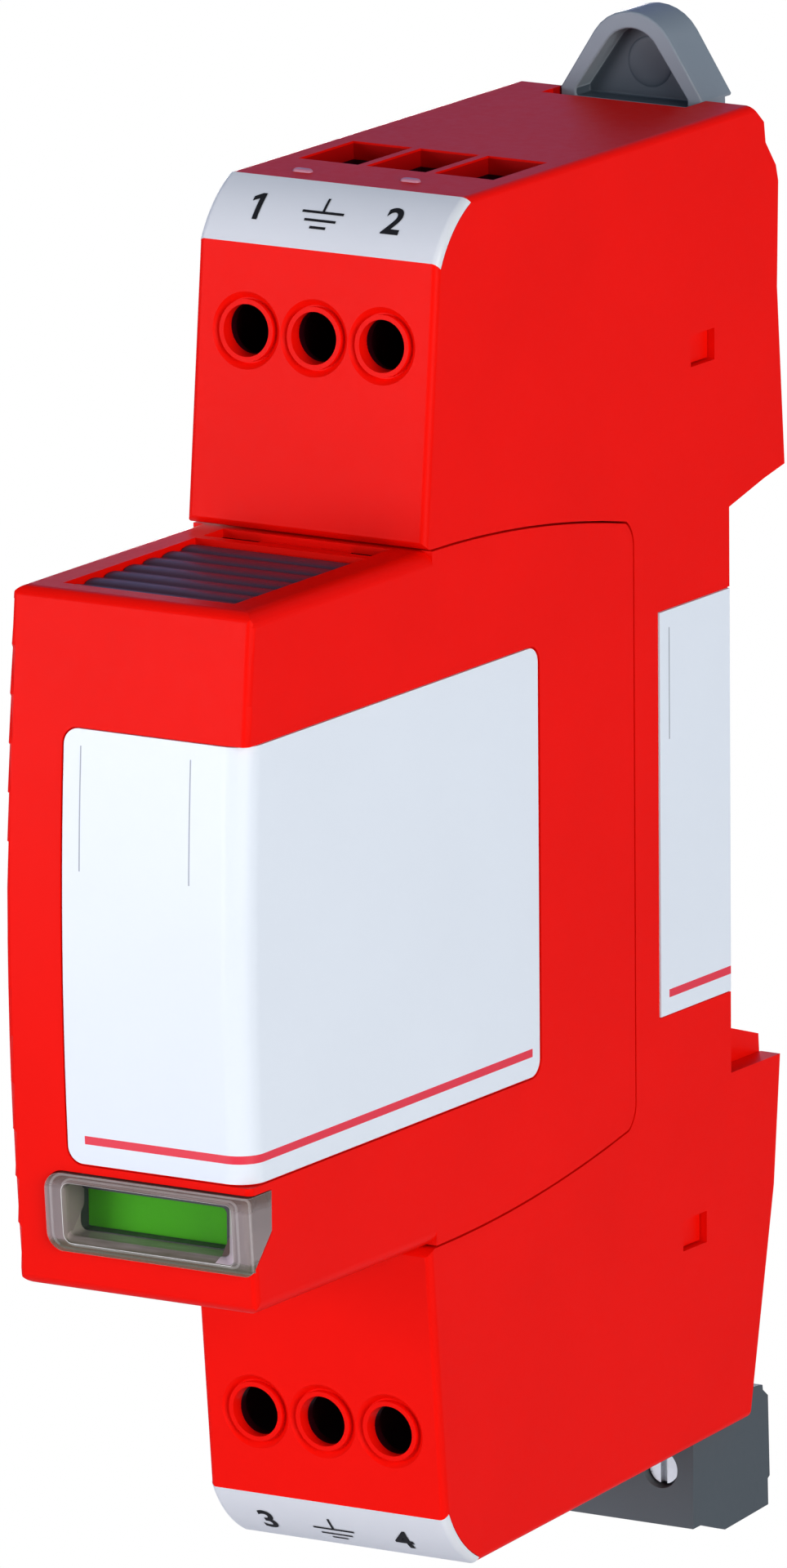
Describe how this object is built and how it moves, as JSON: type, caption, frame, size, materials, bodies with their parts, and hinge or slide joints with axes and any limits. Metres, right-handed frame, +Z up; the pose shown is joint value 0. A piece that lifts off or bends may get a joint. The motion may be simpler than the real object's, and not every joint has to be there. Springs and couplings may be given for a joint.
{
  "type": "din rail surge arrester",
  "caption": "Slim rail-mounted surge arrester: red base with screw terminals top and bottom, plug-in protection module with status window, spring rail latch and pull-off signal plug.",
  "frame": {"origin": "middle of the rail seat, on the plane where the base rests on the rail's front flanges", "axes": "+X along the rail across the body's width, -Y out of the cabinet to the front, +Z up the body's height"},
  "size_m": [0.0181, 0.067, 0.1011],
  "materials": {
    "red_plastic": "satin moulded",
    "grey_plastic": "satin moulded",
    "button_plastic": "matt ribbed",
    "dark_plastic": "matt moulded",
    "marker_strip": "satin film",
    "label": "satin film",
    "contact_metal": "tinned copper strip",
    "steel": "zinc plated",
    "clear_plastic": "clear moulded",
    "green_flag": "satin",
    "circuit_board": "laminate",
    "ceramic": "fired ceramic",
    "varistor_coating": "epoxy coating"
  },
  "bodies": {
    "base": {"base_housing": "red_plastic", "rear_cover": "red_plastic", "contact_carrier": "dark_plastic", "marker_strip_upper": "marker_strip", "marker_strip_lower": "marker_strip", "base_label": "label", "busbar_line_1": "contact_metal", "busbar_line_2": "contact_metal", "busbar_line_3": "contact_metal", "busbar_line_4": "contact_metal", "busbar_earth": "contact_metal", "signal_header": "dark_plastic", "signal_pins": "steel", "signal_switch": "dark_plastic", "latch_spring": "steel"},
    "latch": {"rail_latch": "grey_plastic"},
    "module": {"module_housing": "red_plastic", "module_rear_plate": "dark_plastic", "module_board": "circuit_board", "contact_blade_1": "contact_metal", "contact_blade_2": "contact_metal", "contact_blade_3": "contact_metal", "contact_blade_4": "contact_metal", "contact_blade_5": "contact_metal", "gas_tube": "ceramic", "varistor_1": "varistor_coating", "varistor_2": "varistor_coating", "status_window": "clear_plastic", "module_label": "label"},
    "flag": {"status_flag": "green_flag"},
    "button_top": {"release_button_top": "button_plastic"},
    "button_bottom": {"release_button_bottom": "button_plastic"},
    "signal_plug": {"signal_plug_housing": "grey_plastic"},
    "terminal_screw_1": {"terminal_screw_1": "steel"},
    "terminal_screw_2": {"terminal_screw_2": "steel"},
    "terminal_screw_3": {"terminal_screw_3": "steel"},
    "terminal_screw_4": {"terminal_screw_4": "steel"},
    "terminal_screw_5": {"terminal_screw_5": "steel"},
    "terminal_screw_6": {"terminal_screw_6": "steel"},
    "clamp_cage_1": {"clamp_cage_1": "steel"},
    "clamp_cage_2": {"clamp_cage_2": "steel"},
    "clamp_cage_3": {"clamp_cage_3": "steel"},
    "clamp_cage_4": {"clamp_cage_4": "steel"},
    "clamp_cage_5": {"clamp_cage_5": "steel"},
    "clamp_cage_6": {"clamp_cage_6": "steel"},
    "signal_screw_1": {"signal_screw_1": "steel"},
    "signal_screw_2": {"signal_screw_2": "steel"},
    "signal_screw_3": {"signal_screw_3": "steel"},
    "signal_clamp_1": {"signal_clamp_1": "steel"},
    "signal_clamp_2": {"signal_clamp_2": "steel"},
    "signal_clamp_3": {"signal_clamp_3": "steel"}
  },
  "joints": [
    {"name": "module_pull", "type": "slide", "parent": "base", "child": "module", "axis": [0, -1, 0], "range_m": [0, 0.045]},
    {"name": "latch_lift", "type": "slide", "parent": "base", "child": "latch", "axis": [0, 0, 1], "range_m": [0, 0.003], "stiffness_N_per_m": 1500, "springref_m": -0.002, "deforming": ["latch_spring"]},
    {"name": "flag_shift", "type": "slide", "parent": "module", "child": "flag", "axis": [0, 0, 1], "range_m": [0, 0.004]},
    {"name": "button_top_press", "type": "slide", "parent": "module", "child": "button_top", "axis": [0, 0, -1], "range_m": [0, 0.0012], "stiffness_N_per_m": 800, "springref_m": -0.001},
    {"name": "button_bottom_press", "type": "slide", "parent": "module", "child": "button_bottom", "axis": [0, 0, 1], "range_m": [0, 0.0012], "stiffness_N_per_m": 800, "springref_m": -0.001},
    {"name": "signal_plug_pull", "type": "slide", "parent": "base", "child": "signal_plug", "axis": [0, 0, -1], "range_m": [0, 0.012]},
    {"name": "screw_turn_1", "type": "hinge", "parent": "base", "child": "terminal_screw_1", "pos_m": [-0.0051, -0.03, 0.0357], "axis": [0, 1, 0], "range_deg": [0, 1728]},
    {"name": "clamp_close_1", "type": "slide", "parent": "base", "child": "clamp_cage_1", "axis": [0, -1, 0], "range_m": [0, 0.0024]},
    {"name": "screw_turn_2", "type": "hinge", "parent": "base", "child": "terminal_screw_2", "pos_m": [0, -0.03, 0.0357], "axis": [0, 1, 0], "range_deg": [0, 1728]},
    {"name": "clamp_close_2", "type": "slide", "parent": "base", "child": "clamp_cage_2", "axis": [0, -1, 0], "range_m": [0, 0.0024]},
    {"name": "screw_turn_3", "type": "hinge", "parent": "base", "child": "terminal_screw_3", "pos_m": [0.0051, -0.03, 0.0357], "axis": [0, 1, 0], "range_deg": [0, 1728]},
    {"name": "clamp_close_3", "type": "slide", "parent": "base", "child": "clamp_cage_3", "axis": [0, -1, 0], "range_m": [0, 0.0024]},
    {"name": "screw_turn_4", "type": "hinge", "parent": "base", "child": "terminal_screw_4", "pos_m": [-0.0051, -0.03, -0.0357], "axis": [0, 1, 0], "range_deg": [0, 1728]},
    {"name": "clamp_close_4", "type": "slide", "parent": "base", "child": "clamp_cage_4", "axis": [0, -1, 0], "range_m": [0, 0.0024]},
    {"name": "screw_turn_5", "type": "hinge", "parent": "base", "child": "terminal_screw_5", "pos_m": [0, -0.03, -0.0357], "axis": [0, 1, 0], "range_deg": [0, 1728]},
    {"name": "clamp_close_5", "type": "slide", "parent": "base", "child": "clamp_cage_5", "axis": [0, -1, 0], "range_m": [0, 0.0024]},
    {"name": "screw_turn_6", "type": "hinge", "parent": "base", "child": "terminal_screw_6", "pos_m": [0.0051, -0.03, -0.0357], "axis": [0, 1, 0], "range_deg": [0, 1728]},
    {"name": "clamp_close_6", "type": "slide", "parent": "base", "child": "clamp_cage_6", "axis": [0, -1, 0], "range_m": [0, 0.0024]},
    {"name": "signal_screw_turn_1", "type": "hinge", "parent": "signal_plug", "child": "signal_screw_1", "pos_m": [-0.00508, 0, -0.04585], "axis": [0, 1, 0], "range_deg": [0, 900]},
    {"name": "signal_clamp_close_1", "type": "slide", "parent": "signal_plug", "child": "signal_clamp_1", "axis": [0, -1, 0], "range_m": [0, 0.001]},
    {"name": "signal_screw_turn_2", "type": "hinge", "parent": "signal_plug", "child": "signal_screw_2", "pos_m": [0, 0, -0.04585], "axis": [0, 1, 0], "range_deg": [0, 900]},
    {"name": "signal_clamp_close_2", "type": "slide", "parent": "signal_plug", "child": "signal_clamp_2", "axis": [0, -1, 0], "range_m": [0, 0.001]},
    {"name": "signal_screw_turn_3", "type": "hinge", "parent": "signal_plug", "child": "signal_screw_3", "pos_m": [0.00508, 0, -0.04585], "axis": [0, 1, 0], "range_deg": [0, 900]},
    {"name": "signal_clamp_close_3", "type": "slide", "parent": "signal_plug", "child": "signal_clamp_3", "axis": [0, -1, 0], "range_m": [0, 0.001]}
  ],
  "couplings": [
    {"joint": "screw_turn_1", "follows": "clamp_close_1", "rad_per_m": 12565},
    {"joint": "screw_turn_2", "follows": "clamp_close_2", "rad_per_m": 12565},
    {"joint": "screw_turn_3", "follows": "clamp_close_3", "rad_per_m": 12565},
    {"joint": "screw_turn_4", "follows": "clamp_close_4", "rad_per_m": 12565},
    {"joint": "screw_turn_5", "follows": "clamp_close_5", "rad_per_m": 12565},
    {"joint": "screw_turn_6", "follows": "clamp_close_6", "rad_per_m": 12565},
    {"joint": "signal_screw_turn_1", "follows": "signal_clamp_close_1", "rad_per_m": 15706},
    {"joint": "signal_screw_turn_2", "follows": "signal_clamp_close_2", "rad_per_m": 15706},
    {"joint": "signal_screw_turn_3", "follows": "signal_clamp_close_3", "rad_per_m": 15706}
  ]
}
